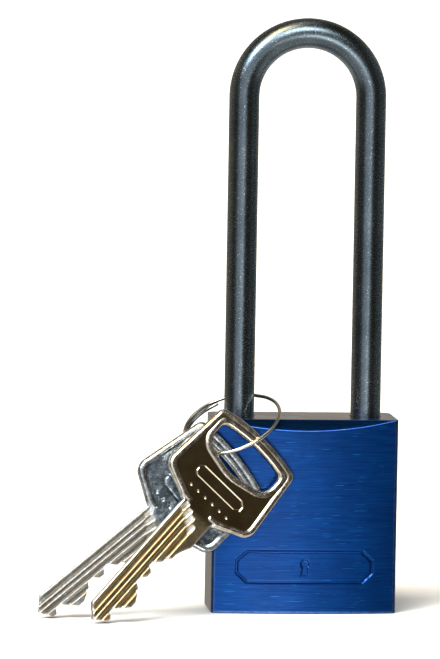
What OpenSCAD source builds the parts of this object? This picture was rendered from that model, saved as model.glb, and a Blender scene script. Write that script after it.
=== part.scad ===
// Long-shackle padlock with an anodised case, a ball-locking pin-tumbler mechanism,
// a split ring around its captive leg and two keys on the ring.
// Units are millimetres. The lock stands upright on its base: +Z goes up to the shackle,
// -Y is the front face, and the origin is the middle of the case's flat bottom.

/* [Part] */

// Which piece to draw, or "all"

/* [Case] */

// Width of the case
case_w = 40; // [40:0.5:44]

// Depth of the case over its two bowed faces
case_d = 20; // [20:0.5:22]

// Height of the case
case_h = 42; // [42:0.5:46]

// How far the front and back faces bow out in the middle
bow_out = 1.5; // [1:0.1:2]

// Height of the sloping band above each bowed face
bevel_h = 2.4; // [1.8:0.1:3]

// Edge radius beside the front face
front_r = 0.8; // [0.6:0.1:1.2]

// Edge radius beside the back face
back_r = 3; // [2:0.5:3.5]

/* [Shackle] */

// Radius of the shackle's round bar
bar_r = 3.25; // [3:0.05:3.25]

// Clear height inside the loop above the case
loop_h = 79.5; // [40:0.5:120]

// Inside width of the loop
loop_w = 21; // [21:0.5:22]

// How far the shackle rises when it opens
shackle_lift = 12; // [11:0.5:12]

// Running gap around each leg
leg_gap = 0.1; // [0.05:0.01:0.1]

/* [Mechanism] */

// Radius of the plug
plug_r = 6; // [5.8:0.1:6.2]

// Radius of the round part of the cylinder shell
shell_r = 8; // [7.9:0.1:8.1]

// Radius of the locking balls
ball_r = 3; // [2.8:0.1:3]

// How far a ball moves out to lock
ball_throw = 2.2; // [1.8:0.1:2.2]

// Radius of the tumbler pins
pin_r = 1.3; // [1.1:0.05:1.35]

// Distance between tumbler pins
pin_pitch = 4.5; // [4.4:0.05:4.5]

/* [Ring] */

// Radius of the ring to the middle of its wire
ring_r = 10.6; // [10.5:0.1:10.8]

// Radius of the ring's wire
wire_r = 0.4; // [0.35:0.01:0.42]

// Slope of the ring where it hangs over the case's corner
ring_tilt = 32; // [31:0.5:33]

/* [Keys] */

// Thickness of each key
key_t = 1.9; // [1.8:0.05:2]

// Lean of the front key
key_1_lean = 11; // [10.5:0.5:12]

// Slant of the front key, measured from +X
key_1_slant = 225.5; // [223:0.5:225.5]

// Turn of the front key about the vertical
key_1_turn = 11.5; // [10:0.5:13]

// Lean of the back key
key_2_lean = 8; // [7.5:0.5:8.5]

// Slant of the back key, measured from +X
key_2_slant = 219; // [217:0.5:219.5]

// Turn of the back key about the vertical
key_2_turn = 4; // [3:0.5:5]

/* [Hidden] */

$fn = 96;
eps = 0.01;
leg_x = loop_w / 2 + bar_r;
bow_r = (case_w * case_w / 4 + bow_out * bow_out) / (2 * bow_out);
arch_z = case_h + loop_h - loop_w / 2;
leg_bore_r = bar_r + leg_gap;
heel_end = 8.5;
toe_end = 32;
spring_floor = 1.5;
toe_floor = 31.5;
neck_r = 2.35;
neck_low = 12;
heel_pin_r = 1;
heel_pin_x = -leg_x - neck_r - heel_pin_r - 0.1;
heel_pin_z = neck_low + shackle_lift + heel_pin_r + 0.1;
neck_high = heel_pin_z + heel_pin_r + 0.3;
ball_z = 36.6;
ball_in = loop_w / 2 - 0.2 - ball_r;
face_z = 0.3;
shell_top = 30.6;
cam_z = 34.9;
cam_t = 3.4;
cam_low = ball_in - ball_r - 0.2;
chamber_r = 6.7;
chamber_top = 39.8;
clip_z = 30.85;
chamber_pin_r = pin_r + 0.05;
driver_len = 4.2;
bible_end = 15;
cover_t = 0.7;
first_pin_z = 10.6;
blade_back = -4.4;
bits = [6.7, 4.0, 4.2, 7.0, 4.2];
pin_low = -2.4;
cylinder_pin_z = 21;

case_blue = [0.07, 0.17, 0.5];
steel = [0.36, 0.39, 0.45];
nickel = [0.72, 0.7, 0.66];
brass = [0.75, 0.6, 0.3];
bright = [0.8, 0.8, 0.82];

function pin_z(i) = first_pin_z + (i - 1) * pin_pitch;
function fold(a) = abs(a % 180) <= 90 ? abs(a % 180) : 180 - abs(a % 180);
function cam_radius(a) = cam_low + ball_throw * fold(a) / 90;

// ---- case ----

module side_corners(r, side) {
  for (s = [-1, 1])
    translate([s * (case_w / 2 - r), side * edge_y(r) - side * r, 0])
      cylinder(r = r, h = case_h);
}

function edge_y(r) = case_d / 2 - pow(case_w / 2 - r, 2) / (2 * bow_r);

// A block with vertical edges of two radii and two faces that bow out
module case_block() {
  yf = edge_y(front_r);
  yb = edge_y(back_r);
  side_corners(front_r, -1);
  side_corners(back_r, 1);
  translate([-case_w / 2, -yf + front_r, 0])
    cube([case_w, yf - front_r + yb - back_r, case_h]);
  translate([-case_w / 2 + front_r, -yf, 0])
    cube([case_w - 2 * front_r, yf, case_h]);
  translate([-case_w / 2 + back_r, -eps, 0])
    cube([case_w - 2 * back_r, yb + eps, case_h]);
  intersection() {
    translate([0, bow_r - case_d / 2, 0])
      cylinder(r = bow_r, h = case_h, $fn = 200);
    translate([-case_w / 2 + front_r, -case_d / 2 - 1, 0])
      cube([case_w - 2 * front_r, case_d / 2, case_h]);
  }
  intersection() {
    translate([0, -bow_r + case_d / 2, 0])
      cylinder(r = bow_r, h = case_h, $fn = 200);
    translate([-case_w / 2 + back_r, 1, 0])
      cube([case_w - 2 * back_r, case_d / 2, case_h]);
  }
}

// The sloping cut along the top of a bowed face; side is -1 at the front and 1 at the back
module bevel_cut(side) {
  slope = atan2(bow_out, bevel_h);
  translate([0, side * (case_d / 2 - bow_out), case_h])
    rotate([side * slope, 0, 0])
      translate([-case_w, side > 0 ? 0 : -6, -8])
        cube([2 * case_w, 6, 16]);
}

// A thin pressed frame with a keyhole in it, cut to an even depth in the bowed front
module front_stamp() {
  intersection() {
    translate([0, bow_r - case_d / 2, 0])
      difference() {
        cylinder(r = bow_r + 1, h = case_h, $fn = 200);
        cylinder(r = bow_r - 0.18, h = case_h, $fn = 200);
      }
    translate([0, -case_d / 2 - 2, 10.2])
      rotate([-90, 0, 0])
        union() {
          difference() {
            linear_extrude(height = 6)
              polygon([[-15, -1.4], [-12.6, -3.6], [12.6, -3.6], [15, -1.4],
                       [15, 1.4], [12.6, 3.6], [-12.6, 3.6], [-15, 1.4]]);
            translate([0, 0, -1])
              linear_extrude(height = 8)
                polygon([[-14.4, -1.1], [-12.3, -3], [12.3, -3], [14.4, -1.1],
                         [14.4, 1.1], [12.3, 3], [-12.3, 3], [-14.4, 1.1]]);
          }
          translate([0, -0.7, 0])
            cylinder(r = 0.95, h = 6);
          linear_extrude(height = 6)
            polygon([[-0.4, -0.6], [0.4, -0.6], [0.85, 1.9], [-0.85, 1.9]]);
        }
  }
}

module case() {
  color(case_blue)
    difference() {
      case_block();
      bevel_cut(-1);
      bevel_cut(1);
      front_stamp();
      translate([-leg_x, 0, spring_floor])
        cylinder(r = leg_bore_r, h = case_h);
      translate([leg_x, 0, toe_floor])
        cylinder(r = leg_bore_r, h = case_h);
      translate([0, 0, -1])
        cylinder(r = shell_r + 0.03, h = shell_top + 1.05);
      translate([0, -3.03, -1])
        cube([bible_end + 0.03, 6.06, shell_top + 1.05]);
      translate([0, 0, shell_top - 1])
        cylinder(r = chamber_r, h = chamber_top - shell_top + 1);
      translate([-leg_x, 0, ball_z])
        rotate([0, 90, 0])
          cylinder(r = ball_r + 0.1, h = 2 * leg_x);
      translate([heel_pin_x, -6.5, heel_pin_z])
        rotate([-90, 0, 0])
          cylinder(r = heel_pin_r + 0.02, h = case_d);
      translate([-shell_r, -7, cylinder_pin_z])
        rotate([-90, 0, 0])
          cylinder(r = 1.02, h = case_d);
    }
}

module heel_pin() {
  color(steel)
    translate([heel_pin_x, -6.4, heel_pin_z])
      rotate([-90, 0, 0])
        cylinder(r = heel_pin_r, h = 14.6);
}

module cylinder_pin() {
  color(steel)
    translate([-shell_r, -6.9, cylinder_pin_z])
      rotate([-90, 0, 0])
        cylinder(r = 1, h = 15.6);
}

// ---- shackle ----

module notch(side) {
  translate([side * (ball_in + ball_throw), -6, ball_z])
    rotate([-90, 0, 0])
      cylinder(r = ball_r + 0.15, h = 12);
}

module shackle() {
  color(steel)
    difference() {
      union() {
        translate([-leg_x, 0, heel_end + 0.6])
          cylinder(r = bar_r, h = neck_low - heel_end - 0.6);
        translate([-leg_x, 0, heel_end])
          cylinder(r1 = bar_r - 0.6, r2 = bar_r, h = 0.6);
        translate([-leg_x, 0, neck_low])
          cylinder(r = neck_r, h = neck_high - neck_low);
        translate([-leg_x, 0, neck_high])
          cylinder(r = bar_r, h = arch_z - neck_high);
        translate([leg_x, 0, toe_end + 0.6])
          cylinder(r = bar_r, h = arch_z - toe_end - 0.6);
        translate([leg_x, 0, toe_end])
          cylinder(r1 = bar_r - 0.6, r2 = bar_r, h = 0.6);
        translate([0, 0, arch_z])
          rotate([90, 0, 0])
            rotate_extrude(angle = 180, $fn = 180)
              translate([leg_x, 0])
                circle(r = bar_r, $fn = 64);
      }
      notch(-1);
      notch(1);
    }
}

module locking_ball_left() {
  color(bright)
    translate([-ball_in, 0, ball_z])
      sphere(r = ball_r);
}

module locking_ball_right() {
  color(bright)
    translate([ball_in, 0, ball_z])
      sphere(r = ball_r);
}

// ---- cylinder ----

module cam() {
  color(nickel)
    difference() {
      union() {
        translate([0, 0, cam_z])
          linear_extrude(height = cam_t)
            polygon([for (a = [0 : 5 : 355])
                       [cam_radius(a) * cos(a), cam_radius(a) * sin(a)]]);
        translate([0, 0, cam_z - 1.2])
          cylinder(r = 3.6, h = 1.2 + eps);
      }
      translate([0, 0, cam_z - 2])
        intersection() {
          cylinder(r = 2.55, h = 8);
          translate([-4, -1.65, 0])
            cube([8, 3.3, 8]);
        }
    }
}

module cylinder_shell() {
  color(brass)
    difference() {
      union() {
        translate([0, 0, face_z])
          cylinder(r = shell_r, h = shell_top - face_z);
        translate([0, -3, face_z])
          cube([bible_end, 6, shell_top - face_z]);
      }
      translate([0, 0, -1])
        cylinder(r = plug_r + 0.05, h = case_h);
      for (i = [1 : 5])
        translate([0, 0, pin_z(i)])
          rotate([0, 90, 0])
            cylinder(r = chamber_pin_r, h = bible_end + 1);
      translate([bible_end - cover_t - 0.03, -1.83, pin_z(1) - 3])
        cube([cover_t + 1, 3.66, pin_z(5) - pin_z(1) + 4.9]);
      translate([-shell_r, -10, cylinder_pin_z])
        rotate([-90, 0, 0])
          cylinder(r = 1.02, h = 20);
    }
}

module chamber_cover() {
  color(brass)
    translate([bible_end - cover_t, -1.8, pin_z(1) - 2.97])
      cube([cover_t, 3.6, pin_z(5) - pin_z(1) + 4.84]);
}

// The plug is drawn turned a quarter from where the key goes in, so its pins point to +Y
module plug() {
  color(brass)
    rotate([0, 0, 90])
      difference() {
        union() {
          translate([0, 0, face_z])
            cylinder(r = plug_r, h = shell_top - face_z);
          translate([0, 0, shell_top])
            cylinder(r = 3.6, h = 2.9);
          intersection() {
            cylinder(r = 2.4, h = 38);
            translate([-1.5, -4, shell_top])
              cube([3, 8, 38 - shell_top]);
          }
        }
        translate([0, 0, clip_z])
          difference() {
            cylinder(r = 5, h = 0.8);
            cylinder(r = 3, h = 0.8);
          }
        translate([blade_back - 0.2, -1.15, -1])
          cube([8.75, 2.3, shell_top + 0.5 - 1.4]);
        translate([blade_back + 5.6, -1.55, -1])
          cube([1.1, 3.1, shell_top + 0.5 - 1.4]);
        for (i = [1 : 5])
          translate([pin_low - 0.3, 0, pin_z(i)])
            rotate([0, 90, 0])
              cylinder(r = chamber_pin_r, h = 20);
      }
}

module plug_clip() {
  color(bright)
    translate([0, 0, clip_z + 0.1])
      difference() {
        cylinder(r = 5.2, h = 0.6);
        translate([0, 0, -1])
          cylinder(r = 3.05, h = 3);
        translate([0, -1.9, -1])
          cube([8, 3.8, 3]);
      }
}

module key_pin(i) {
  tip = blade_back + bits[i - 1] + 0.05;
  color(brass)
    rotate([0, 0, 90])
      translate([0, 0, pin_z(i)])
        rotate([0, 90, 0]) {
          translate([0, 0, tip + 0.8])
            cylinder(r = pin_r, h = plug_r - tip - 1);
          translate([0, 0, tip])
            cylinder(r1 = 0.45, r2 = pin_r, h = 0.8);
        }
}

module driver_pin(i) {
  color(bright)
    translate([plug_r + 0.08, 0, pin_z(i)])
      rotate([0, 90, 0]) {
        cylinder(r = pin_r, h = driver_len - 0.3);
        translate([0, 0, driver_len - 0.3])
          cylinder(r1 = pin_r, r2 = pin_r - 0.3, h = 0.3);
      }
}

// A coil from z = 0 to z = len around the Z axis
module coil(r, wire, len, turns, steps) {
  rise = (len - 2 * wire) / (turns * steps);
  for (k = [0 : turns * steps - 1])
    hull() {
      for (j = [k, k + 1])
        rotate([0, 0, j * 360 / steps])
          translate([r, 0, wire + j * rise])
            rotate([90, 0, 0])
              cylinder(r = wire, h = 0.02, center = true, $fn = 6);
    }
}

module pin_spring(i) {
  color(bright)
    translate([plug_r + 0.14 + driver_len, 0, pin_z(i)])
      rotate([0, 90, 0])
        coil(0.95, 0.16, bible_end - cover_t - plug_r - driver_len - 0.2, 5, 8);
}

module shackle_spring() {
  color(bright)
    translate([-leg_x, 0, spring_floor + 0.04])
      coil(2.45, 0.4, heel_end - spring_floor - 0.1, 5, 14);
}

module key_pin_1() { key_pin(1); }
module key_pin_2() { key_pin(2); }
module key_pin_3() { key_pin(3); }
module key_pin_4() { key_pin(4); }
module key_pin_5() { key_pin(5); }
module driver_pin_1() { driver_pin(1); }
module driver_pin_2() { driver_pin(2); }
module driver_pin_3() { driver_pin(3); }
module driver_pin_4() { driver_pin(4); }
module driver_pin_5() { driver_pin(5); }
module pin_spring_1() { pin_spring(1); }
module pin_spring_2() { pin_spring(2); }
module pin_spring_3() { pin_spring(3); }
module pin_spring_4() { pin_spring(4); }
module pin_spring_5() { pin_spring(5); }

// ---- split ring ----

// A ring of wire whose ends overlap: one lies flat and the other climbs past it
module ring_arc(angle) {
  rotate_extrude(angle = angle, $fn = 180)
    translate([ring_r, 0])
      circle(r = wire_r, $fn = 32);
}

module ring_ball(k) {
  translate([ring_r, 0, 0])
    sphere(r = k * wire_r, $fn = 32);
}

module key_ring() {
  climb = asin(2.6 * wire_r / ring_r);
  color(nickel)
    translate([-15.58, -4.8, 40.45])
      rotate([0, ring_tilt, 228.2])
        rotate([0, 0, 180]) {
          rotate([0, 0, 51])
            ring_arc(309);
          rotate([0, 0, 51])
            ring_ball(0.97);
          ring_ball(1.02);
          rotate([climb, 0, 0]) {
            ring_arc(120);
            rotate([0, 0, 120])
              ring_ball(0.97);
          }
        }
}

// ---- keys ----

// Drawn flat: X runs from the bow to the tip, Y from the plain edge to the cut edge.
// The origin is where the blade's plain edge meets the bow.

module bow_plate(t, inset) {
  mid = 4.1;
  intersection() {
    translate([0, 0, -t / 2])
      linear_extrude(height = t)
        polygon([[-0.9 * inset, 0.6 * inset], [-3.1 - 0.4 * inset, -7.3 + 0.9 * inset],
                 [-4.9 - 0.1 * inset, -8.3 + inset], [-23, -6.6 + inset],
                 [-23, 2 * mid + 6.6 - inset], [-4.9 - 0.1 * inset, 2 * mid + 8.3 - inset],
                 [-3.1 - 0.4 * inset, 2 * mid + 7.3 - 0.9 * inset],
                 [-0.9 * inset, 2 * mid - 0.6 * inset]]);
    translate([20.1, mid, -t])
      cylinder(r = 42.3 - inset, h = 2 * t, $fn = 200);
    translate([-11.2, mid, -t])
      cylinder(r = 14.6 - inset, h = 2 * t, $fn = 200);
  }
}

module slot_plate(t, grow) {
  mid = 4.1;
  intersection() {
    translate([0, 0, -t / 2])
      linear_extrude(height = t)
        polygon([[-25, -4.3 - grow], [-14.4, -4.3 - grow], [-12.9 + grow, -3.1 - grow],
                 [-11.3 + grow, mid], [-12.9 + grow, 2 * mid + 3.1 + grow],
                 [-14.4, 2 * mid + 4.3 + grow], [-25, 2 * mid + 4.3 + grow]]);
    translate([20.1, mid, -t])
      cylinder(r = 39.4 + grow, h = 2 * t, $fn = 200);
  }
}

// Milled groove with a round run-out towards the bow
module groove(y, w, from, depth, side) {
  translate([from, y - w / 2, side > 0 ? key_t / 2 - depth : -key_t / 2 - 1])
    cube([40, w, 1 + depth]);
  translate([from, y - w / 2, side * (key_t / 2 - depth + 9)])
    rotate([-90, 0, 0])
      cylinder(r = 9, h = w);
}

module blade() {
  difference() {
    translate([0, 0, -key_t / 2])
      linear_extrude(height = key_t)
        polygon([[-2, 0], [30, 0], [32.6, 2.6], [30.7, 5.3], [29.8, 5.4], [29.2, 4.2],
                 [28, 4.2], [25, 7], [23.6, 7], [20.8, 5.3], [20.3, 4.2], [18.9, 4.2],
                 [17.7, 5.3], [16.5, 5.3], [15.7, 4], [14.5, 4], [13, 5.6], [11.9, 5.6],
                 [11.1, 6.7], [10, 6.7], [8.4, 7.3], [6.6, 8.2], [-2, 8.2]]);
    groove(1.15, 0.75, 1.6, 0.4, 1);
    groove(2.55, 0.85, 2.5, 0.45, 1);
    groove(3.95, 0.85, 3.4, 0.45, 1);
    groove(5.3, 0.7, 4.3, 0.35, 1);
    groove(1.7, 0.9, 1.8, 0.45, -1);
    groove(4.3, 0.9, 3.2, 0.45, -1);
  }
}

// A thin pressed frame and a row of pressed dots on the front of the bow
module key_stamp() {
  translate([-7.1, 4.1, key_t / 2 - 0.12])
    difference() {
      linear_extrude(height = 1)
        polygon([[-1.5, -5.6], [-0.6, -6.6], [0.6, -6.6], [1.5, -5.6],
                 [1.5, 5.6], [0.6, 6.6], [-0.6, 6.6], [-1.5, 5.6]]);
      translate([0, 0, -1])
        linear_extrude(height = 3)
          polygon([[-1.1, -5.4], [-0.4, -6.2], [0.4, -6.2], [1.1, -5.4],
                   [1.1, 5.4], [0.4, 6.2], [-0.4, 6.2], [-1.1, 5.4]]);
    }
  for (i = [-2.5 : 2.5])
    translate([-3.4, 4.1 + 2.1 * i, key_t / 2 - 0.12])
      cylinder(r = 0.42, h = 1, $fn = 4);
}

module key_flat() {
  difference() {
    union() {
      blade();
      difference() {
        bow_plate(key_t + 0.3, 0);
        for (s = [-1, 1])
          translate([0, 0, s * (key_t / 2 + 0.5)])
            difference() {
              bow_plate(1, 1.3);
              slot_plate(2, 1.1);
            }
        for (z = [-key_t / 2 - 1, key_t / 2])
          translate([-2.5, 1.2, z])
            cube([3, 5.8, 1]);
      }
    }
    slot_plate(4, 0);
    key_stamp();
  }
}

module key_1() {
  color(nickel)
    translate([-17.2, -14.85, 30.55])
      rotate([90 - key_1_lean, 0, key_1_turn])
        rotate([0, 0, key_1_slant])
          translate([11, -4, 0])
            key_flat();
}

module key_2() {
  color(bright)
    translate([-23.5, -12.3, 27.45])
      rotate([90 - key_2_lean, 0, key_2_turn])
        rotate([0, 0, key_2_slant])
          translate([11, -4, 0])
            key_flat();
}

case();
shackle();
locking_ball_left();
locking_ball_right();
cam();
cylinder_shell();
plug();
plug_clip();
chamber_cover();
key_pin_1();
key_pin_2();
key_pin_3();
key_pin_4();
key_pin_5();
driver_pin_1();
driver_pin_2();
driver_pin_3();
driver_pin_4();
driver_pin_5();
pin_spring_1();
pin_spring_2();
pin_spring_3();
pin_spring_4();
pin_spring_5();
shackle_spring();
heel_pin();
cylinder_pin();
key_ring();
key_1();
key_2();
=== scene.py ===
import math

import bpy
import numpy as np
from mathutils import Matrix, Vector


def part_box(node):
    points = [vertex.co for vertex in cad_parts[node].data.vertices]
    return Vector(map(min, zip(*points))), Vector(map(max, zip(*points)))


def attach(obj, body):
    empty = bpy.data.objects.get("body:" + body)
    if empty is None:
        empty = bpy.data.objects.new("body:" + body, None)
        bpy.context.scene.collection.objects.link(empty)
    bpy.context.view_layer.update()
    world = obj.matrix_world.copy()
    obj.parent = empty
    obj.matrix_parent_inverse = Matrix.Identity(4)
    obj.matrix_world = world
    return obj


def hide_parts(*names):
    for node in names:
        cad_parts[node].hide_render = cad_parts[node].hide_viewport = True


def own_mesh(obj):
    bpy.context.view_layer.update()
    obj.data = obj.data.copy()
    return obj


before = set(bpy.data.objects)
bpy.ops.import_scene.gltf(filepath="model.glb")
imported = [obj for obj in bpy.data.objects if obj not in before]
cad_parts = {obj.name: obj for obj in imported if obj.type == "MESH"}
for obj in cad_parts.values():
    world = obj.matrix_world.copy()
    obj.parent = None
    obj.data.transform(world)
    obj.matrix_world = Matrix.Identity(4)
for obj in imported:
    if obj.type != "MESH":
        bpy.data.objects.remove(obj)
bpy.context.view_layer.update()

MM = 0.001


# ---------------------------------------------------------------- camera

CAMERA_AZ, CAMERA_EL, CAMERA_ROLL = -6.5, 5.0, 1.03
CAMERA_DISTANCE = 1.3
TARGET = Vector((0, 0, 0.055))
AIM_RIGHT, AIM_UP = -0.018, 0.0057
LENS, SENSOR_WIDTH = 328.4, 36


def direction(az, el):
    """Unit vector from the object; azimuth 0 is towards -Y and 90 towards +X."""
    a, e = math.radians(az), math.radians(el)
    return Vector((math.sin(a) * math.cos(e), -math.cos(a) * math.cos(e), math.sin(e)))


def make_camera():
    back = direction(CAMERA_AZ, CAMERA_EL)
    right = (-back).cross(Vector((0, 0, 1))).normalized()
    up = right.cross(-back)
    roll = math.radians(CAMERA_ROLL)
    cam_right = math.cos(roll) * right + math.sin(roll) * up
    cam_up = -math.sin(roll) * right + math.cos(roll) * up
    place = TARGET + CAMERA_DISTANCE * back
    aim = TARGET + AIM_RIGHT * cam_right + AIM_UP * cam_up
    z = (place - aim).normalized()
    x = cam_up.cross(z).normalized()
    y = z.cross(x)
    data = bpy.data.cameras.new("camera")
    data.lens = LENS
    data.sensor_width = SENSOR_WIDTH
    data.clip_start, data.clip_end = 0.05, 60
    cam = bpy.data.objects.new("camera", data)
    cam.matrix_world = Matrix((x, y, z)).transposed().to_4x4()
    cam.location = place
    bpy.context.scene.collection.objects.link(cam)
    bpy.context.scene.camera = cam


# ---------------------------------------------------------------- nodes

class Tree:
    """A short way to write node trees."""

    def __init__(self, tree):
        self.tree = tree
        tree.nodes.clear()

    def add(self, kind, inputs=None, **props):
        node = self.tree.nodes.new("ShaderNode" + kind)
        for key, value in props.items():
            setattr(node, key, value)
        for key, value in (inputs or {}).items():
            socket = node.inputs[key]
            if isinstance(value, bpy.types.NodeSocket):
                self.tree.links.new(value, socket)
            else:
                socket.default_value = value
        return node

    def math(self, operation, a, b=0.0, clamp=False):
        node = self.add("Math", {0: a, 1: b}, operation=operation, use_clamp=clamp)
        return node.outputs[0]

    def ramp(self, value, lo, hi, to_lo=0.0, to_hi=1.0, smooth=False):
        kind = "SMOOTHSTEP" if smooth else "LINEAR"
        node = self.add("MapRange", {0: value, 1: lo, 2: hi, 3: to_lo, 4: to_hi},
                        interpolation_type=kind)
        return node.outputs[0]

    def mix(self, share, a, b, blend="MIX"):
        node = self.add("Mix", {0: share, 6: a, 7: b}, data_type="RGBA", blend_type=blend)
        return node.outputs[2]

    def noise(self, where, scale, detail=2.0, rough=0.5, stretch=(1, 1, 1)):
        mapped = self.add("Mapping", {"Vector": where, "Scale": stretch})
        return self.add("TexNoise", {"Vector": mapped.outputs[0], "Scale": scale,
                                     "Detail": detail, "Roughness": rough}).outputs[0]


def rgba(c):
    return (c[0], c[1], c[2], 1.0)


def millimetres(t):
    """Object coordinates in millimetres."""
    where = t.add("TexCoord").outputs["Object"]
    return t.add("VectorMath", {0: where, "Scale": 1000.0}, operation="SCALE").outputs[0]


# ---------------------------------------------------------------- light and floor

# the surroundings: pale below, dark above, and the heights between which one turns into the other
ROOM = {"low": (0.74, 0.70, 0.65), "high": (0.050, 0.038, 0.022)}
ROOM_BAND = (-0.50, -0.18)
# what shows behind the object
PALE = (0.94, 0.94, 0.94)
# azimuth, elevation, inner and outer half angle in degrees, and colour of each soft light patch
SOFT_BOXES = [
    (-17, -2, 6, 37, (0.84, 0.88, 0.92)),
    (-40, 62, 3, 15, (13.0, 9.4, 4.4)),
    (-42, 36, 4, 17, (17.0, 18.5, 19.5)),
    (2, 36, 4, 16, (10.5, 11.0, 11.0)),
    (0, -18, 4, 12, (5.5, 5.5, 5.4)),
    (180, 6, 30, 78, (0.335, 0.302, 0.252)),
    (-112, 8, 10, 40, (0.26, 0.215, 0.16)),
    (100, 6, 15, 52, (0.14, 0.165, 0.175)),
    (-20, 88, 4, 18, (1.0, 1.0, 1.0)),
]
SUN_FROM, SUN_POWER, SUN_SPREAD = (-38, 58), 2.7, 34
SUN_COLOUR = (0.965, 0.985, 1.0)
FLOOR_REACH, FLOOR_STEPS = 9.0, 12
FLOOR_DARK, FLOOR_PALE = (0.84, 0.84, 0.835), (0.87, 0.87, 0.865)


def make_world():
    world = bpy.data.worlds.new("studio")
    world.use_nodes = True
    bpy.context.scene.world = world
    t = Tree(world.node_tree)
    way = t.add("TexCoord").outputs["Generated"]
    height = t.add("SeparateXYZ", {0: way}).outputs[2]
    total = t.mix(t.ramp(height, *ROOM_BAND, smooth=True), rgba(ROOM["low"]), rgba(ROOM["high"]))
    for az, el, inner, outer, colour in SOFT_BOXES:
        facing = t.add("VectorMath", {0: way, 1: direction(az, el)}, operation="DOT_PRODUCT")
        share = t.ramp(facing.outputs["Value"], math.cos(math.radians(outer)),
                       math.cos(math.radians(inner)), smooth=True)
        lit = t.mix(share, rgba((0, 0, 0)), rgba(colour))
        total = t.mix(1.0, total, lit, blend="ADD")
    seen = t.add("LightPath").outputs["Is Camera Ray"]
    shown = t.mix(seen, total, rgba(PALE))
    back = t.add("Background", {"Color": shown, "Strength": 1.0})
    t.add("OutputWorld", {"Surface": back.outputs[0]})


def make_lights():
    data = bpy.data.lights.new("window", "SUN")
    data.energy = SUN_POWER
    data.angle = math.radians(SUN_SPREAD)
    data.color = SUN_COLOUR
    sun = bpy.data.objects.new("window", data)
    sun.rotation_euler = direction(*SUN_FROM).to_track_quat("Z", "Y").to_euler()
    sun.visible_glossy = False
    bpy.context.scene.collection.objects.link(sun)


def make_floor():
    n = FLOOR_STEPS + 1
    line = np.linspace(-FLOOR_REACH, FLOOR_REACH, n)
    verts = [(x, y, 0.0) for y in line for x in line]
    faces = [(r * n + c, r * n + c + 1, (r + 1) * n + c + 1, (r + 1) * n + c)
             for r in range(FLOOR_STEPS) for c in range(FLOOR_STEPS)]
    mesh = bpy.data.meshes.new("floor")
    mesh.from_pydata(verts, [], faces)
    floor = bpy.data.objects.new("floor", mesh)
    bpy.context.scene.collection.objects.link(floor)
    mat = bpy.data.materials.new("floor")
    mat.use_nodes = True
    t = Tree(mat.node_tree)
    where = millimetres(t)
    grain = t.noise(where, 0.02, 3.0)
    colour = t.mix(grain, rgba(FLOOR_DARK), rgba(FLOOR_PALE))
    shader = t.add("BsdfPrincipled", {"Base Color": colour, "Roughness": 1.0,
                                      "Specular IOR Level": 0.0})
    t.add("OutputMaterial", {"Surface": shader.outputs[0]})
    mesh.materials.append(mat)
    floor.visible_glossy = False


# ---------------------------------------------------------------- materials

def finish_material(t, colour, roughness, height, strength, distance, **sockets):
    """Ends a metal: height makes the bump, and sockets holds the shader's other inputs."""
    bump = t.add("Bump", {"Strength": strength, "Distance": distance * MM, "Height": height})
    inputs = {"Base Color": colour, "Roughness": roughness, "Normal": bump.outputs[0],
              "Metallic": 1.0}
    inputs.update(sockets)
    shader = t.add("BsdfPrincipled", inputs)
    t.add("OutputMaterial", {"Surface": shader.outputs[0]})


def new_material(name):
    mat = bpy.data.materials.new(name)
    mat.use_nodes = True
    t = Tree(mat.node_tree)
    return mat, t, millimetres(t)


def worn_edges(t, where, amount):
    """How worn the surface is, from the mesh's own wear mark, broken up by noise. On the keys the
    mark also carries painted highlight on the raised rims and groove run-outs.
    """
    mark = t.add("Attribute", attribute_name="wear").outputs["Fac"]
    patchy = t.ramp(t.noise(where, 0.9, 4.0, 0.65), 0.36, 0.60, 0.4, 1.0)
    return t.math("MULTIPLY", t.math("MULTIPLY", mark, patchy), amount, clamp=True)


BLUE_DARK, BLUE_MID = (0.0015, 0.026, 0.128), (0.0022, 0.038, 0.196)
BLUE_BRIGHT, BLUE_SCRATCH, BLUE_WORN = (0.0045, 0.078, 0.34), (0.02, 0.23, 0.66), (0.16, 0.28, 0.50)


def make_case_material():
    """Blue anodising over brushed aluminium. The slopes, where brushing is 0, are smooth."""
    mat, t, where = new_material("anodised_blue")
    brushed = t.noise(where, 1.0, 3.0, 0.6, stretch=(0.16, 0.16, 11.0))
    fine = t.noise(where, 1.0, 2.0, 0.5, stretch=(0.5, 0.5, 34.0))
    cloud = t.noise(where, 0.09, 3.0)
    lines = t.ramp(brushed, 0.38, 0.66)
    colour = t.mix(lines, rgba(BLUE_MID), rgba(BLUE_BRIGHT))
    colour = t.mix(t.ramp(cloud, 0.35, 0.75, 0.0, 0.45), colour, rgba(BLUE_DARK))
    scratch = t.noise(where, 1.0, 1.0, 0.4, stretch=(0.22, 0.22, 5.5))
    marks = t.ramp(scratch, 0.70, 0.74, 0.0, 0.7)
    colour = t.mix(marks, colour, rgba(BLUE_SCRATCH))
    worn = worn_edges(t, where, 0.4)
    colour = t.mix(worn, colour, rgba(BLUE_WORN))
    brushing = t.add("Attribute", attribute_name="brushing").outputs["Fac"]
    rough = t.ramp(brushing, 0.0, 1.0, 0.19, t.ramp(fine, 0.25, 0.75, 0.28, 0.40))
    height = t.math("ADD", t.math("MULTIPLY", brushed, 0.6), t.math("MULTIPLY", fine, 0.4))
    height = t.math("MULTIPLY", height, brushing)
    tangent = t.add("Tangent", direction_type="RADIAL", axis="Z").outputs[0]
    finish_material(t, colour, rough, height, 0.42, 0.03, **{
        "Anisotropic": 0.45, "Tangent": tangent, "Coat Weight": 1.0, "Coat Roughness": 0.14,
        "Coat IOR": 1.2})
    return mat


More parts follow.
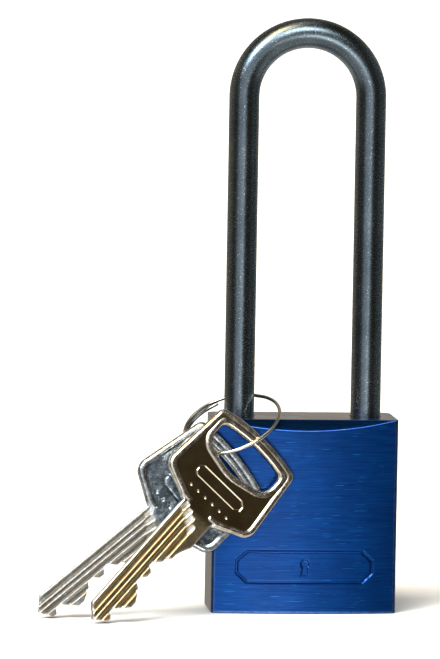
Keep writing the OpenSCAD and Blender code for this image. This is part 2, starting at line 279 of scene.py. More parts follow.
STEEL_LOW, STEEL_HIGH = (0.095, 0.125, 0.148), (0.155, 0.195, 0.225)
STEEL_SPECK, STEEL_DOT, STEEL_WORN = (0.50, 0.54, 0.58), (0.05, 0.055, 0.06), (0.60, 0.61, 0.62)


def make_steel_material():
    """Dark grey-blue plating with fine grain, bright specks and small dark dots."""
    mat, t, where = new_material("plated_steel")
    cloud = t.noise(where, 0.12, 4.0, 0.6)
    grain = t.noise(where, 5.0, 3.0, 0.7)
    speck = t.noise(where, 3.2, 1.0, 0.4)
    colour = t.mix(t.ramp(cloud, 0.3, 0.7), rgba(STEEL_LOW), rgba(STEEL_HIGH))
    specks = t.ramp(speck, 0.66, 0.72, 0.0, 0.6)
    colour = t.mix(specks, colour, rgba(STEEL_SPECK))
    dots = t.ramp(t.noise(where, 2.1, 1.0), 0.24, 0.30, 0.5, 0.0)
    colour = t.mix(dots, colour, rgba(STEEL_DOT))
    worn = worn_edges(t, where, 0.6)
    colour = t.mix(worn, colour, rgba(STEEL_WORN))
    rough = t.ramp(grain, 0.25, 0.75, 0.20, 0.31)
    height = t.math("ADD", t.math("MULTIPLY", grain, 0.8), t.math("MULTIPLY", specks, 0.5))
    finish_material(t, colour, rough, height, 0.32, 0.05)
    return mat


# pale specks, and the pale colour of wear and of the keys' painted rim and run-out highlights
NICKEL_SPECK, NICKEL_WORN_AND_HIGHLIGHT = (0.86, 0.82, 0.72), (0.95, 0.90, 0.83)


def make_nickel_material(name, low, high, rough_low, rough_high, blade=None, mottle=0.0,
                         amount=1.0):
    """Bright plating between two colours. blade is the colour of a key's milled blade, mottle
    how strong the pale spots are, and amount how strong the wear and the painted rim highlight are."""
    mat, t, where = new_material(name)
    cloud = t.noise(where, 0.22, 4.0, 0.6)
    scratch = t.noise(where, 1.0, 2.0, 0.5, stretch=(0.5, 2.0, 9.0))
    speck = t.noise(where, 4.2, 1.0, 0.4)
    colour = t.mix(t.ramp(cloud, 0.3, 0.7), rgba(low), rgba(high))
    if mottle:
        spots = t.ramp(t.noise(where, 1.1, 5.0, 0.7), 0.47, 0.60, 0.0, mottle)
        colour = t.mix(spots, colour, rgba([min(1.0, 2.3 * c) for c in high]))
    rough = t.ramp(cloud, 0.3, 0.75, rough_low, rough_high)
    if blade:
        on_blade = t.add("Attribute", attribute_name="blade").outputs["Fac"]
        streaks = t.ramp(t.noise(where, 1.4, 3.0, 0.6), 0.35, 0.65, 0.45, 1.0)
        colour = t.mix(t.math("MULTIPLY", on_blade, streaks), colour, rgba(blade))
        rough = t.math("ADD", rough, t.math("MULTIPLY", on_blade, 0.17))
    specks = t.ramp(speck, 0.73, 0.78, 0.0, 0.7)
    colour = t.mix(specks, colour, rgba(NICKEL_SPECK))
    # on the keys this paints the pale highlight of the rims and groove run-outs as well as wear
    worn = worn_edges(t, where, amount)
    colour = t.mix(worn, colour, rgba(NICKEL_WORN_AND_HIGHLIGHT))
    rough = t.math("ADD", rough, t.math("MULTIPLY", worn, 0.14))
    height = t.math("ADD", t.math("MULTIPLY", scratch, 0.5), t.math("MULTIPLY", specks, 0.6))
    finish_material(t, colour, rough, height, 0.16, 0.03)
    return mat


def make_part_material(name, low, high, stretch):
    """Brass or steel of an inside part, with fine marks from turning or milling."""
    mat, t, where = new_material(name)
    cloud = t.noise(where, 0.3, 4.0, 0.6)
    rings = t.noise(where, 1.0, 2.0, 0.5, stretch=stretch)
    colour = t.mix(t.ramp(cloud, 0.3, 0.7), rgba(low), rgba(high))
    colour = t.mix(t.ramp(rings, 0.45, 0.75, 0.0, 0.35), colour, rgba([0.6 * c for c in low]))
    rough = t.ramp(rings, 0.3, 0.7, 0.24, 0.38)
    finish_material(t, colour, rough, rings, 0.2, 0.03)
    return mat


# ---------------------------------------------------------------- mesh helpers

def mesh_object(name, verts, faces, wear=None):
    """A new object from vertices in millimetres. wear is a number for each vertex: wear, and on the
    keys painted highlight as well.
    """
    mesh = bpy.data.meshes.new(name)
    mesh.from_pydata([tuple(v) for v in np.asarray(verts, float) * MM], [], faces)
    if wear is not None:
        mark = mesh.attributes.new("wear", "FLOAT", "POINT")
        mark.data.foreach_set("value", np.asarray(wear, np.float32))
    mesh.update()
    obj = bpy.data.objects.new(name, mesh)
    bpy.context.scene.collection.objects.link(obj)
    return obj


def apply_modifiers(obj):
    graph = bpy.context.evaluated_depsgraph_get()
    mesh = bpy.data.meshes.new_from_object(obj.evaluated_get(graph))
    obj.modifiers.clear()
    obj.data = mesh


def shade(obj, angle):
    mesh = obj.data
    mesh.polygons.foreach_set("use_smooth", [True] * len(mesh.polygons))
    mesh.set_sharp_from_angle(angle=math.radians(angle))
    mesh.update()


def cut(obj, tools):
    """Cuts the tools out of obj, one after another."""
    for tool in tools:
        step = obj.modifiers.new("cut", "BOOLEAN")
        step.operation = "DIFFERENCE"
        step.solver = "EXACT"
        step.object = tool
        apply_modifiers(obj)
        bpy.data.objects.remove(tool)


def turned(name, profile, place, axis, sides=64):
    """A solid turned from (radius, distance along the axis) pairs."""
    frames = {"X": Matrix.Rotation(math.pi / 2, 3, "Y"),
              "Y": Matrix.Rotation(-math.pi / 2, 3, "X"), "Z": Matrix.Identity(3)}
    rows = []
    for radius, along in profile:
        for k in range(sides):
            a = 2 * math.pi * k / sides
            p = frames[axis] @ Vector((radius * math.cos(a), radius * math.sin(a), along))
            rows.append(Vector(place) + p)
    faces = [(r * sides + k, r * sides + (k + 1) % sides, (r + 1) * sides + (k + 1) % sides,
              (r + 1) * sides + k) for r in range(len(profile) - 1) for k in range(sides)]
    faces.append(tuple(range(sides))[::-1])
    last = (len(profile) - 1) * sides
    faces.append(tuple(range(last, last + sides)))
    return mesh_object(name, rows, faces)


def block(name, low, high):
    """A box-shaped cutter."""
    corners = [(x, y, z) for z in (low[2], high[2]) for y in (low[1], high[1])
               for x in (low[0], high[0])]
    faces = [(0, 2, 3, 1), (4, 5, 7, 6), (0, 1, 5, 4), (2, 6, 7, 3), (0, 4, 6, 2), (1, 3, 7, 5)]
    return mesh_object(name, corners, faces)


def polygon_distance(px, py, polygon):
    """Distance to a polygon's edge, negative inside."""
    best = np.full(px.shape, 1e9)
    inside = np.zeros(px.shape, bool)
    n = len(polygon)
    for i in range(n):
        ax, ay = polygon[i]
        bx, by = polygon[(i + 1) % n]
        ex, ey = bx - ax, by - ay
        wx, wy = px - ax, py - ay
        share = np.clip((wx * ex + wy * ey) / (ex * ex + ey * ey), 0, 1)
        best = np.minimum(best, np.hypot(wx - ex * share, wy - ey * share))
        crosses = (ay > py) != (by > py)
        with np.errstate(divide="ignore", invalid="ignore"):
            at = ax + (py - ay) * ex / (ey if ey else 1e-12)
        inside ^= crosses & (px < at)
    return np.where(inside, -best, best)


def smoothstep(x, lo, hi):
    t = np.clip((x - lo) / (hi - lo), 0, 1)
    return t * t * (3 - 2 * t)


def soft_max(a, b, k):
    h = np.clip(0.5 + 0.5 * (a - b) / k, 0, 1)
    return b + (a - b) * h + k * h * (1 - h)


# ---------------------------------------------------------------- case

CASE_W, CASE_D, CASE_H = 40.0, 20.0, 42.0
# how far the faces are bowed, the height of the sloping band, and the bow's radius
BOW_OUT, BEVEL_H = 1.5, 2.4
BOW_R = (CASE_W ** 2 / 4 + BOW_OUT ** 2) / (2 * BOW_OUT)
# corner radii of the outline, and how far the top edges are softened
FRONT_R, BACK_R, EDGE_SOFT = 0.8, 3.0, 0.13
LEG_X, BAR_R, ARCH_Z = 13.75, 3.25, 111.0
# leg bores: radius, and the floor of the heel's and the toe's
LEG_BORE_R, HEEL_FLOOR, TOE_FLOOR = BAR_R + 0.1, 1.5, 31.5
BORE_TOP, MOUTH_TOP, MOUTH_WIDER = 41.75, 42.1, 0.35
# the cylinder's bore, the cam's room, the balls' bore and the cross pins' holes
SHELL_R, SHELL_TOP, CAM_ROOM_R, CAM_ROOM = 8.03, 31.65, 6.7, (29.6, 39.8)
BALL_Z, BALL_BORE_R = 36.6, 3.1
CROSS_PIN_R = 1.02
# the pressed frame: its middle's height, its depth, and how far to each side it is looked for
STAMP_Z, STAMP_DEPTH, STAMP_REACH = 10.2, 0.27, 16
# the part of the front that is drawn in close rows for it
STAMP_ROWS = (6.1, 14.4, 0.16)


def bow_y(x):
    """How far the bowed faces are from the middle at x."""
    return CASE_D / 2 - BOW_R + np.sqrt(BOW_R ** 2 - x ** 2)


def case_outline():
    """Points of the outline and their outward normals, anticlockwise from the front's left."""
    points = []

    def bow(x0, x1, count, side):
        for x in np.linspace(x0, x1, count):
            n = np.array([x, side * math.sqrt(BOW_R ** 2 - x ** 2)]) / BOW_R
            points.append((x, side * bow_y(x), n[0], n[1], 0.0))

    def corner(cx, cy, r, a0, a1, count, wear):
        for a in np.linspace(math.radians(a0), math.radians(a1), count):
            points.append((cx + r * math.cos(a), cy + r * math.sin(a), math.cos(a),
                           math.sin(a), wear))

    def side(x, y0, y1, count):
        for y in np.linspace(y0, y1, count)[1:-1]:
            points.append((x, y, math.copysign(1, x), 0.0, 0.0))

    def edge(r):
        return CASE_D / 2 - (CASE_W / 2 - r) ** 2 / (2 * BOW_R)

    fx, bx = CASE_W / 2 - FRONT_R, CASE_W / 2 - BACK_R
    fy, by = -edge(FRONT_R) + FRONT_R, edge(BACK_R) - BACK_R
    bow(-fx, fx, 258, -1)
    corner(fx, fy, FRONT_R, -78, 0, 8, 0.8)
    side(CASE_W / 2, fy, by, 10)
    corner(bx, by, BACK_R, 0, 80, 12, 0.25)
    bow(bx, -bx, 70, 1)
    corner(-bx, by, BACK_R, 100, 180, 12, 0.25)
    side(-CASE_W / 2, by, fy, 10)
    corner(-fx, fy, FRONT_R, 180, 258, 8, 0.8)
    return np.array(points)


def stamp_depth(x, z):
    """Depth of the pressed frame and its keyhole on the front."""
    u, v = x, STAMP_Z - z
    outer = [(-15, -1.4), (-12.6, -3.6), (12.6, -3.6), (15, -1.4),
             (15, 1.4), (12.6, 3.6), (-12.6, 3.6), (-15, 1.4)]
    inner = [(-14.4, -1.1), (-12.3, -3), (12.3, -3), (14.4, -1.1),
             (14.4, 1.1), (12.3, 3), (-12.3, 3), (-14.4, 1.1)]
    ring = np.maximum(polygon_distance(u, v, outer), -polygon_distance(u, v, inner))
    eye = np.hypot(u, v + 0.7) - 0.95
    foot = polygon_distance(u, v, [(-0.4, -0.6), (0.4, -0.6), (0.85, 1.9), (-0.85, 1.9)])
    shape = np.minimum(ring, np.minimum(eye, foot))
    return STAMP_DEPTH * smoothstep(-shape, -0.05, 0.16)


def bezier(points, t):
    """A point on a quadratic or cubic curve through the given control points."""
    p = [np.asarray(q, float) for q in points]
    while len(p) > 1:
        p = [(1 - t) * a + t * b for a, b in zip(p, p[1:])]
    return p[0]


def edge_profile(run, soft=EDGE_SOFT, count=6):
    """Inward distance and height below the top, from the wall over the slope to the top face."""
    drop = run * BEVEL_H / BOW_OUT
    slope = math.hypot(run, drop)
    foot, head = np.array([0.0, -drop]), np.array([run, 0.0])
    low, high = foot - (0, soft), head + (soft, 0)
    part = min(soft, 0.45 * slope) / slope if slope > 1e-9 else 0.0
    first, second = foot + part * (head - foot), head + part * (foot - head)
    share = smoothstep(slope, 0.05, 0.9)
    rows = []
    for k in range(2 * count):
        if k < count:
            wide = bezier([low, foot, first], k / (count - 1))
        else:
            wide = bezier([second, head, high], (k - count) / (count - 1))
        tight = bezier([low, foot, head, high], k / (2 * count - 1))
        rows.append(share * wide + (1 - share) * tight)
    return rows


def make_case():
    """The block as rows of points around it, from the bottom up, with the bores cut out."""
    line = case_outline()
    xy, normal, corner_wear = line[:, :2], line[:, 2:4], line[:, 4]
    run = np.maximum(0, np.abs(xy[:, 1]) - (CASE_D / 2 - BOW_OUT))
    top = CASE_H - run * BEVEL_H / BOW_OUT
    rings, wear, brushing = [], [], []

    def ring(inset, z, worn):
        rings.append(np.column_stack([xy - inset * normal, np.broadcast_to(z, len(xy))]))
        wear.append(np.maximum(float(worn), corner_wear))
        brushing.append(np.ones(len(xy)))

    foot = [(0.6, 0, 0), (0.3, 0, 1), (0.13, 0.04, 1), (0.04, 0.13, 1), (0, 0.3, 1),
            (0, 0.7, 0), (0, 2.4, 0), (0, 4.4, 0)]
    for inset, z, worn in foot:
        ring(inset, z, worn)
    for z in np.arange(*STAMP_ROWS):
        ring(0, z, 0)
    above = STAMP_ROWS[1]
    for share in (0.08, 0.2, 0.4, 0.6, 0.8, 0.93):
        ring(0, above + share * (top - EDGE_SOFT - above), 0)
    ring(0, top - 0.75, 0)
    profiles = np.array([edge_profile(r) for r in run])
    half = profiles.shape[1] // 2
    for k in range(profiles.shape[1]):
        inward, height = profiles[:, k, 0], CASE_H + profiles[:, k, 1]
        along = np.minimum(inward, run)
        place = xy - np.column_stack([np.zeros(len(xy)), np.sign(xy[:, 1]) * along])
        place = place - (inward - along)[:, None] * normal
        rings.append(np.column_stack([place, height]))
        worn = math.sin(math.pi * (k % half) / (half - 1)) * (0.3 if k < half else 0.8)
        wear.append(np.full(len(xy), worn))
        sloped = 1.0 if half // 2 <= k < half + half // 2 else 0.0
        brushing.append(1 - sloped * smoothstep(run, 0.0, 0.25))
    inner = rings[-1].copy()
    inner[:, :2] -= 0.35 * normal
    rings.append(inner)
    wear.append(np.zeros(len(xy)))
    brushing.append(np.ones(len(xy)))
    verts = np.array(rings)
    front = (xy[:, 1] < 0) & (np.abs(xy[:, 0]) < STAMP_REACH)
    depth = np.where(front, stamp_depth(verts[:, :, 0], verts[:, :, 2]), 0)
    depth[:len(foot)] = 0
    verts[:, :, :2] -= depth[:, :, None] * normal[None]
    count = len(xy)
    faces = [(r * count + k, r * count + (k + 1) % count, (r + 1) * count + (k + 1) % count,
              (r + 1) * count + k) for r in range(len(rings) - 1) for k in range(count)]
    faces.append(tuple(range(count))[::-1])
    faces.append(tuple(range((len(rings) - 1) * count, len(rings) * count)))
    case = mesh_object("case_body", verts.reshape(-1, 3), faces, np.array(wear).ravel())
    mark = case.data.attributes.new("brushing", "FLOAT", "POINT")
    mark.data.foreach_set("value", np.array(brushing, np.float32).ravel())

    def leg_bore(x, floor):
        mouth = (LEG_BORE_R + MOUTH_WIDER, MOUTH_TOP)
        return turned("bore", [(LEG_BORE_R, floor), (LEG_BORE_R, BORE_TOP), mouth], (x, 0, 0), "Z")

    def bore(radius, ends, place, axis, sides):
        return turned("bore", [(radius, end) for end in ends], place, axis, sides)

    cut(case, [
        leg_bore(-LEG_X, HEEL_FLOOR),
        leg_bore(LEG_X, TOE_FLOOR),
        turned("bore", [(8.33, -0.3), (SHELL_R, 0.2), (SHELL_R, SHELL_TOP)], (0, 0, 0), "Z", 96),
        block("slot", (5, -3.03, -1), (15.03, 3.03, SHELL_TOP)),
        bore(CAM_ROOM_R, CAM_ROOM, (0, 0, 0), "Z", 96),
        bore(BALL_BORE_R, (-LEG_X, LEG_X), (0, 0, BALL_Z), "X", 48),
        bore(CROSS_PIN_R, (-6.5, 13.5), (-17.2, 0, 25.1), "Y", 32),
        bore(CROSS_PIN_R, (-7, 13), (-8, 0, 21), "Y", 32),
    ])
    shade(case, 32)
    return case


# ---------------------------------------------------------------- shackle

BAR_SIDES = 56
NOTCH_R, NOTCH_X = 3.15, 9.5


def make_shackle():
    """The bar, from the heel leg's foot over the arch to the toe leg's, and its two notches."""
    rows = []      # x, z, direction along the bar in x and in z, radius, wear

    def leg(x, way, steps):
        for z, radius, worn in steps:
            rows.append((x, z, 0.0, way, radius, worn))

    leg(-LEG_X, 1, [(8.5, 2.65, 1), (8.62, 2.83, 1), (9.1, 3.2, 1), (9.3, 3.25, 0),
                    (11.8, 3.25, 0), (11.95, 3.2, 1), (12.0, 3.08, 1), (12.0, 2.4, 0),
                    (12.06, 2.35, 0), (26.34, 2.35, 0), (26.4, 2.4, 0), (26.4, 3.08, 1),
                    (26.45, 3.2, 1), (26.6, 3.25, 0)])
    leg(-LEG_X, 1, [(z, BAR_R, 0) for z in np.linspace(28.5, ARCH_Z - 1, 40)])
    for a in np.linspace(180, 0, 73):
        c, s = math.cos(math.radians(a)), math.sin(math.radians(a))
        rows.append((LEG_X * c, ARCH_Z + LEG_X * s, s, -c, BAR_R, 0))
    leg(LEG_X, -1, [(z, BAR_R, 0) for z in np.linspace(ARCH_Z - 1, 34, 38)])
    leg(LEG_X, -1, [(32.8, 3.25, 0), (32.6, 3.2, 1), (32.12, 2.83, 1), (32, 2.65, 1)])
    sides = BAR_SIDES
    verts, wear = [], []
    for x, z, tx, tz, radius, worn in rows:
        for k in range(sides):
            a = 2 * math.pi * k / sides
            c, s = radius * math.cos(a), radius * math.sin(a)
            verts.append((x + c * tz, s, z - c * tx))
            wear.append(worn)
    faces = [(r * sides + k, (r + 1) * sides + k, (r + 1) * sides + (k + 1) % sides,
              r * sides + (k + 1) % sides) for r in range(len(rows) - 1) for k in range(sides)]
    faces.append(tuple(range(sides)))
    last = (len(rows) - 1) * sides
    faces.append(tuple(range(last, last + sides))[::-1])
    flipped = [f[::-1] for f in faces]
    shackle = mesh_object("shackle_bar", verts, flipped, wear)
    cut(shackle, [turned("notch", [(NOTCH_R, -6), (NOTCH_R, 6)], (x, 0, BALL_Z), "Y", 48)
                  for x in (-NOTCH_X, NOTCH_X)])
    shade(shackle, 40)
    return shackle


# ---------------------------------------------------------------- ring

RING_R, WIRE_R = 10.6, 0.4
RING_MIDDLE, RING_TURN, RING_TILT = (-15.58, -4.8, 40.45), 228.2, 32
# the drawn wire's radius, and at its two tips a smaller one, a little further out
DRAWN_R, TIP_R, TIP_OUT = 0.394, 0.30, 0.12
WIRE_SIDES = 16


def make_ring():
    """Wire that goes round once, its ends overlapping by 69 degrees. The second end climbs
    over the first, clear of it."""
    radius = RING_R
    climb = math.asin(2.6 * WIRE_R / radius)
    place = (Matrix.Translation(RING_MIDDLE)
             @ Matrix.Rotation(math.radians(RING_TURN), 4, "Z")
             @ Matrix.Rotation(math.radians(RING_TILT), 4, "Y") @ Matrix.Rotation(math.pi, 4, "Z"))
    points = []
    for a in np.linspace(51, 360, 155):
        a = math.radians(a)
        points.append(Vector((radius * math.cos(a), radius * math.sin(a), 0)))
    for a in np.linspace(2, 120, 60):
        a = math.radians(a)
        flat = Vector((radius * math.cos(a), radius * math.sin(a), 0))
        points.append(Matrix.Rotation(climb, 3, "X") @ flat)
    points = [place @ p for p in points]
    sides = WIRE_SIDES
    normal = (place.to_3x3() @ Vector((0, 0, 1))).normalized()
    count = len(points)
    rings = []
    for i, p in enumerate(points):
        way = (points[min(i + 1, count - 1)] - points[max(i - 1, 0)]).normalized()
        out = way.cross(normal).normalized()
        up = out.cross(way)
        thick, shift = DRAWN_R, 0.0
        if i in (0, count - 1):
            thick, shift = TIP_R, TIP_OUT * (-1 if i == 0 else 1)
        rings.append([p + way * shift + thick * (math.cos(2 * math.pi * k / sides) * out
                      + math.sin(2 * math.pi * k / sides) * up) for k in range(sides)])
    verts = [v for ring in rings for v in ring]
    faces = [(r * sides + k, r * sides + (k + 1) % sides, (r + 1) * sides + (k + 1) % sides,
              (r + 1) * sides + k) for r in range(count - 1) for k in range(sides)]
    faces.append(tuple(range(sides))[::-1])
    faces.append(tuple(range((count - 1) * sides, count * sides)))
    wear = [1.0 if r in (0, count - 1) else 0.3 for r in range(count) for _ in range(sides)]
    ring = mesh_object("split_ring", verts, [f[::-1] for f in faces], wear)
    shade(ring, 50)
    return ring


# ---------------------------------------------------------------- keys

# In a key's own plane x runs along the blade from its root and y across it.
KEY_T, KEY_MID = 1.9, 4.1
# the blade's root, seen from the point that key_place puts in its place
KEY_SHIFT = (11, -4, 0)
KEY_SPAN_X, KEY_SPAN_Y = (-22.6, 33.0), (-8.6, 16.9)
# arcs of the bow: middle, and the radii of its outline and of its slot; then a round on its sides
ARC_X, ARC_R, SLOT_ARC_R = 20.1, 42.3, 39.4
ROUND_X, ROUND_R = -11.2, 14.6
# raised edges: their height, and their width around the outline and around the slot
RIM_H, RIM_OUT_W, RIM_IN_W = 0.15, 1.55, 1.35
MARK_DEPTH, FRAME_X, DOTS_X, DOT_GAP, DOT_R = 0.12, 7.1, 3.4, 2.1, 0.42
BOW = [(0, 0), (-3.1, -7.3), (-4.9, -8.3), (-23, -6.6), (-23, 14.8), (-4.9, 16.5), (-3.1, 15.5),
       (0, 8.2)]
SLOT = [(-25, -4.3), (-14.4, -4.3), (-12.9, -3.1), (-11.3, KEY_MID), (-12.9, 11.3),
        (-14.4, 12.5), (-25, 12.5)]
BLADE = [(-7, 0), (30, 0), (32.6, 2.6), (30.7, 5.3), (29.8, 5.4), (29.2, 4.2), (28, 4.2), (25, 7),
         (23.6, 7), (20.8, 5.3), (20.3, 4.2), (18.9, 4.2), (17.7, 5.3), (16.5, 5.3), (15.7, 4),
         (14.5, 4), (13, 5.6), (11.9, 5.6), (11.1, 6.7), (10, 6.7), (8.4, 7.3), (6.6, 8.2),
         (-7, 8.2)]
STAMP_OUT = [(-1.5, -5.6), (-0.6, -6.6), (0.6, -6.6), (1.5, -5.6), (1.5, 5.6), (0.6, 6.6),
             (-0.6, 6.6), (-1.5, 5.6)]
STAMP_IN = [(-1.1, -5.4), (-0.4, -6.2), (0.4, -6.2), (1.1, -5.4), (1.1, 5.4), (0.4, 6.2),
            (-0.4, 6.2), (-1.1, 5.4)]
# y, width, start and depth of each milled groove, and the radius of its run-out
FRONT_GROOVES = [(1.15, 0.75, 2.6, 0.4), (2.55, 0.85, 3.5, 0.45), (3.95, 0.85, 4.4, 0.45),
                 (5.3, 0.7, 5.3, 0.35)]
BACK_GROOVES = [(1.7, 0.9, 1.8, 0.45), (4.3, 0.9, 3.2, 0.45)]
RUN_OUT_R = 11.0


def convex_distance(x, y, polygon, k):
    """Distance to a convex polygon with its corners rounded, negative inside."""
    total = None
    n = len(polygon)
    middle = np.mean(polygon, axis=0)
    for i in range(n):
        a, b = np.array(polygon[i]), np.array(polygon[(i + 1) % n])
        out = np.array([b[1] - a[1], a[0] - b[0]]) / np.hypot(*(b - a))
        if out @ (middle - a) > 0:
            out = -out
        plane = (x - a[0]) * out[0] + (y - a[1]) * out[1]
        total = plane if total is None else soft_max(total, plane, k)
    return total


def key_fields(x, y):
    """Distances to the bow's outline, its slot and the whole key, negative inside the metal."""
    arc = np.hypot(x - ARC_X, y - KEY_MID)
    bow = convex_distance(x, y, BOW, 0.5)
    bow = soft_max(bow, arc - ARC_R, 1.1)
    bow = soft_max(bow, np.hypot(x - ROUND_X, y - KEY_MID) - ROUND_R, 0.6)
    slot = soft_max(convex_distance(x, y, SLOT, 1.0), arc - SLOT_ARC_R, 1.4)
    blade = polygon_distance(x, y, BLADE)
    return bow, slot, np.minimum(np.maximum(bow, -slot), blade)


def groove_depth(x, y, grooves):
    """Depth of the milled grooves, and 1 where one runs out towards the bow."""
    depth, run_out = np.zeros(x.shape), np.zeros(x.shape)
    for centre, width, start, deep in grooves:
        early = np.clip(start - x, 0, RUN_OUT_R - 0.1)
        here = np.maximum(0, deep - (RUN_OUT_R - np.sqrt(RUN_OUT_R ** 2 - early ** 2)))
        rising = smoothstep(early, 0.3, 1.2)
        across = smoothstep(width / 2 + 0.12 + 0.18 * rising - np.abs(y - centre), -0.02, 0.24)
        depth = np.maximum(depth, here * across)
        run_out = np.maximum(run_out, rising * across * (here > 0.01))
    return depth, run_out


def bead(across, width):
    """A rounded raised edge, from 0 at both sides to 1 at the crest."""
    crest = 0.56 * width
    side = np.where(across < crest, crest, width - crest)
    return np.clip(1 - (np.abs(across - crest) / side) ** 2.2, 0, 1)


def key_height(x, y, front):
    """Half thickness of the key at each point, with its wear mark: edge wear, rubbing wear and
    painted highlight on the raised rims, and painted highlight on the groove run-outs.
    """
    _, slot, whole = key_fields(x, y)
    inside = -whole
    on_bow = 1 - smoothstep(x, -1.0, -0.2)
    rim = np.maximum(bead(inside, RIM_OUT_W), bead(slot, RIM_IN_W)) * on_bow
    height = KEY_T / 2 + RIM_H * rim
    round_r = 0.12 + 0.50 * on_bow
    away = np.clip(inside / round_r, 0, 1)
    height = height - 0.75 * round_r * (1 - np.sqrt(1 - (1 - away) ** 2))
    depth, run_out = groove_depth(x, y, FRONT_GROOVES if front else BACK_GROOVES)
    height = height - depth
    if front:
        u, v = x + FRAME_X, y - KEY_MID
        marks = np.maximum(polygon_distance(u, v, STAMP_OUT), -polygon_distance(u, v, STAMP_IN))
        for i in range(6):
            dot = np.abs(x + DOTS_X) + np.abs(v - DOT_GAP * (i - 2.5)) - DOT_R
            marks = np.minimum(marks, dot)
        height = height - MARK_DEPTH * smoothstep(-marks, -0.06, 0.12)
    wear = np.maximum(1 - smoothstep(inside, 0.1, 0.5), 0)
    # the mark: worn outline edges, raised rims (rubbed wear and painted highlight), groove run-outs
    # (painted highlight only)
    return height, np.clip(np.maximum(np.maximum(0.8 * wear, rim), run_out), 0, 1)


def make_key(name, place, pitch=0.17):
    """A key from a grid of points. The points next to the outline are moved onto it, and the
    front and the back are joined by walls along it."""
    gx, gy = np.meshgrid(np.arange(*KEY_SPAN_X, pitch), np.arange(*KEY_SPAN_Y, pitch))
    step = 0.02
    whole = key_fields(gx, gy)[2]
    for _ in range(2):
        dx = (key_fields(gx + step, gy)[2] - key_fields(gx - step, gy)[2]) / (2 * step)
        dy = (key_fields(gx, gy + step)[2] - key_fields(gx, gy - step)[2]) / (2 * step)
        size = np.maximum(np.hypot(dx, dy), 0.4)
        near = np.abs(whole) < 0.62 * pitch
        gx = np.where(near, gx - whole * dx / size ** 2, gx)
        gy = np.where(near, gy - whole * dy / size ** 2, gy)
        whole = np.where(near, key_fields(gx, gy)[2], whole)
    kept = whole < 0.2 * pitch
    index = -np.ones(gx.shape, int)
    cells = []
    for r in range(gx.shape[0] - 1):
        for c in range(gx.shape[1] - 1):
            corners = [(r, c), (r, c + 1), (r + 1, c + 1), (r + 1, c)]
            good = [q for q in corners if kept[q]]
            if len(good) < 3:
                continue
            mx = sum(gx[q] for q in good) / len(good)
            my = sum(gy[q] for q in good) / len(good)
            cells.append((good, mx, my))
    centre = key_fields(np.array([c[1] for c in cells]), np.array([c[2] for c in cells]))[2]
    cells = [c[0] for c, d in zip(cells, centre) if d < -0.04 * pitch]
    used = []
    for good in cells:
        for q in good:
            if index[q] < 0:
                index[q] = len(used)
                used.append(q)
    x = np.array([gx[q] for q in used])
    y = np.array([gy[q] for q in used])
    front, wear_and_highlight_front = key_height(x, y, True)
    rear, wear_and_highlight_rear = key_height(x, y, False)
    n = len(used)
    verts = np.vstack([np.column_stack([x, y, front]), np.column_stack([x, y, -rear])])
    faces, edges = [], {}
    for good in cells:
        ids = [index[q] for q in good]
        faces.append(tuple(ids))
        faces.append(tuple(i + n for i in reversed(ids)))
        for a, b in zip(ids, ids[1:] + ids[:1]):
            edges[(a, b)] = edges.get((a, b), 0) + 1
    for a, b in edges:
        if (b, a) not in edges:
            faces.append((b, a, a + n, b + n))
    matrix = np.array(place @ Matrix.Translation(KEY_SHIFT))
    verts = verts @ matrix[:3, :3].T + matrix[:3, 3]
    key = mesh_object(name, verts, faces, np.concatenate([wear_and_highlight_front, wear_and_highlight_rear]))
    blade = key.data.attributes.new("blade", "FLOAT", "POINT")
    blade.data.foreach_set("value", np.tile(smoothstep(x, -0.6, 1.2), 2).astype(np.float32))
    shade(key, 48)
    return key


def key_place(origin, lean, slant, turn):
    """Where a key hangs: angles in degrees, and lean is from upright."""
    return (Matrix.Translation(origin) @ Matrix.Rotation(math.radians(turn), 4, "Z")
            @ Matrix.Rotation(math.radians(90 - lean), 4, "X")
            @ Matrix.Rotation(math.radians(slant), 4, "Z"))


# ---------------------------------------------------------------- pin springs

# the coil's radius, its wire's radius, its turns, the steps in each turn and the sides of the wire
COIL_R, COIL_WIRE_R, COIL_TURNS, COIL_STEPS, COIL_SIDES = 0.95, 0.15, 6, 24, 10


def make_pin_spring(number):
    """A coil spring behind a driver pin, its end turns closed, and the place of its outer end."""
    box_low, box_high = (np.array(corner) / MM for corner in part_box(f"pin_spring_{number}"))
    z = (box_low[2] + box_high[2]) / 2
    wire, sides = COIL_WIRE_R, COIL_SIDES
    low, high = box_low[0] + wire, box_high[0] - wire
    count = COIL_TURNS * COIL_STEPS + 1
    verts = []
    for i in range(count):
        share = i / (count - 1)
        a = 2 * math.pi * COIL_TURNS * share
        along = low + (high - low) * (0.6 * share + 0.4 * smoothstep(share, 0.0, 1.0))
        for k in range(sides):
            b = 2 * math.pi * k / sides
            r = COIL_R + wire * math.cos(b)
            verts.append((along + wire * math.sin(b), r * math.cos(a), z + r * math.sin(a)))
    faces = [(i * sides + k, i * sides + (k + 1) % sides, (i + 1) * sides + (k + 1) % sides,
              (i + 1) * sides + k) for i in range(count - 1) for k in range(sides)]
    faces.append(tuple(range(sides))[::-1])
    faces.append(tuple(range((count - 1) * sides, count * sides)))
    spring = mesh_object(f"coil_spring_{number}", verts, faces)
    shade(spring, 60)
    return spring, (box_high[0] * MM, 0, z * MM)


# ---------------------------------------------------------------- building it

def stand_in(piece, node, body, material):
    """Puts a piece in the place of a CAD node, on its body and with its finish."""
    piece.data.materials.clear()
    piece.data.materials.append(material)
    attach(piece, body)
    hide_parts(node)


make_camera()
bpy.context.scene.view_settings.view_transform = "Standard"
make_world()
make_lights()
make_floor()

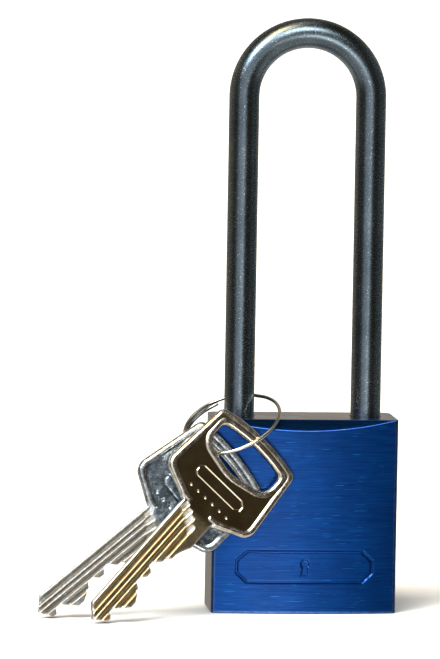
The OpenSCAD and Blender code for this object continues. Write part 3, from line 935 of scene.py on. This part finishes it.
case_finish = make_case_material()
steel_finish = make_steel_material()
ring_finish = make_nickel_material("ring_nickel", (0.56, 0.52, 0.44), (0.76, 0.71, 0.61),
                                   0.12, 0.20)
# the front key's plating is tinted warmer than nickel: a painted warm reflection over the metal's
# own colour
front_key_painted_warm = make_nickel_material("key_nickel", (0.46, 0.39, 0.26), (0.60, 0.51, 0.36),
                                  0.10, 0.17, blade=(0.33, 0.25, 0.135))
# the back key is the same plating as the front key, made darker and blue-grey: painted shade and
# cool reflection
back_key_painted_shade = make_nickel_material("key_nickel_painted_cool_shade", (0.15, 0.19, 0.235), (0.27, 0.32, 0.37),
                                   0.16, 0.30, blade=(0.27, 0.235, 0.185), mottle=0.75,
                                   amount=0.42)

stand_in(make_case(), "case", "lock_body", case_finish)
stand_in(make_shackle(), "shackle", "shackle_body", steel_finish)
stand_in(make_ring(), "key_ring", "ring_body", ring_finish)
stand_in(make_key("front_key", key_place((-17.2, -14.85, 30.55), 11, 225.5, 11.5)),
         "key_1", "key_1_body", front_key_painted_warm)
stand_in(make_key("back_key", key_place((-23.5, -12.3, 27.45), 8, 219, 4)),
         "key_2", "key_2_body", back_key_painted_shade)

brass = make_part_material("brass", (0.62, 0.42, 0.16), (0.78, 0.56, 0.24), (3, 3, 0.6))
plug_brass = make_part_material("plug_brass", (0.66, 0.47, 0.2), (0.82, 0.62, 0.3),
                                (2.5, 2.5, 0.5))
pin_brass = make_part_material("pin_brass", (0.70, 0.50, 0.22), (0.84, 0.66, 0.34),
                               (0.6, 0.6, 6))
bright_steel = make_part_material("bright_steel", (0.56, 0.57, 0.58), (0.72, 0.73, 0.74),
                                  (1, 1, 5))
spring_steel = make_part_material("spring_steel", (0.40, 0.41, 0.43), (0.58, 0.59, 0.60),
                                  (4, 4, 4))
# the inside parts' finishes, by the start of the node's name
INSIDE = {"locking_ball": bright_steel, "cam": bright_steel, "cylinder_shell": brass,
          "plug": plug_brass, "plug_clip": spring_steel, "chamber_cover": brass,
          "key_pin": pin_brass, "driver_pin": bright_steel, "pin_spring": spring_steel,
          "shackle_spring": spring_steel, "heel_pin": bright_steel, "cylinder_pin": bright_steel}
for pin in range(1, 6):
    coil, outer_end = make_pin_spring(pin)
    stand_in(coil, f"pin_spring_{pin}", "lock_body", spring_steel)
    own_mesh(coil)
for node_name, node_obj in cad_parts.items():
    best = max((k for k in INSIDE if node_name.startswith(k)), key=len, default=None)
    if best:
        node_obj.data.materials.clear()
        node_obj.data.materials.append(INSIDE[best])
